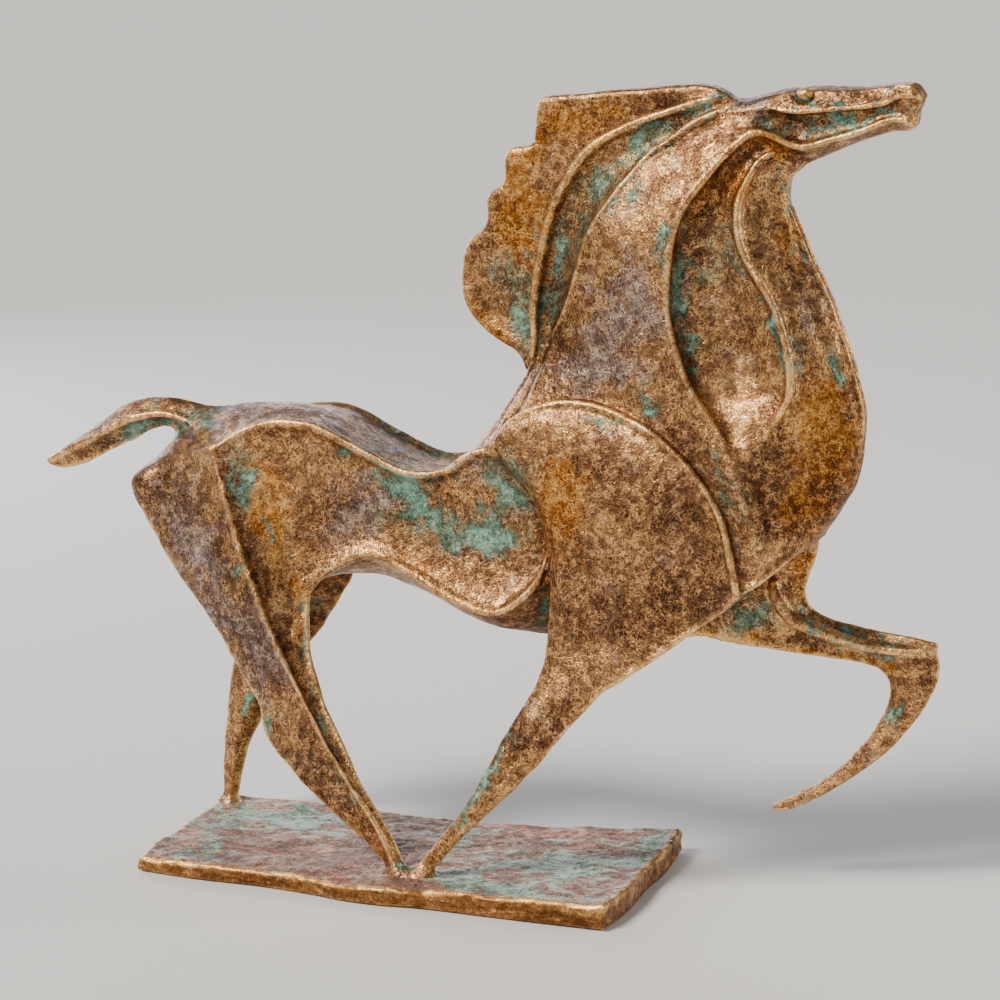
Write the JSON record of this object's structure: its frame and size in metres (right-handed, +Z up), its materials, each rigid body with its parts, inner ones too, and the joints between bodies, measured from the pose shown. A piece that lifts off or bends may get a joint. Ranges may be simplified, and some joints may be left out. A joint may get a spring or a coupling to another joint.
{
  "type": "abstract horse sculpture",
  "caption": "Stylised cast bronze horse in mid stride on a thin slab plinth, with a fin-like stepped mane, ridged flat neck and one raised foreleg.",
  "frame": {"origin": "middle of the plinth's flat underside", "axes": "+X towards the horse's head along its length, +Z up, -Y towards the side with the standing foreleg"},
  "size_m": [0.4403, 0.1376, 0.3888],
  "materials": {
    "horse_bronze": "patinated bronze, brown with worn golden ridges, orange patches and green verdigris in the hollows",
    "plinth_bronze": "patinated bronze, mottled green and copper-brown top, worn golden rim"
  },
  "bodies": {
    "root": {"horse": "horse_bronze", "plinth": "plinth_bronze"}
  },
  "joints": []
}
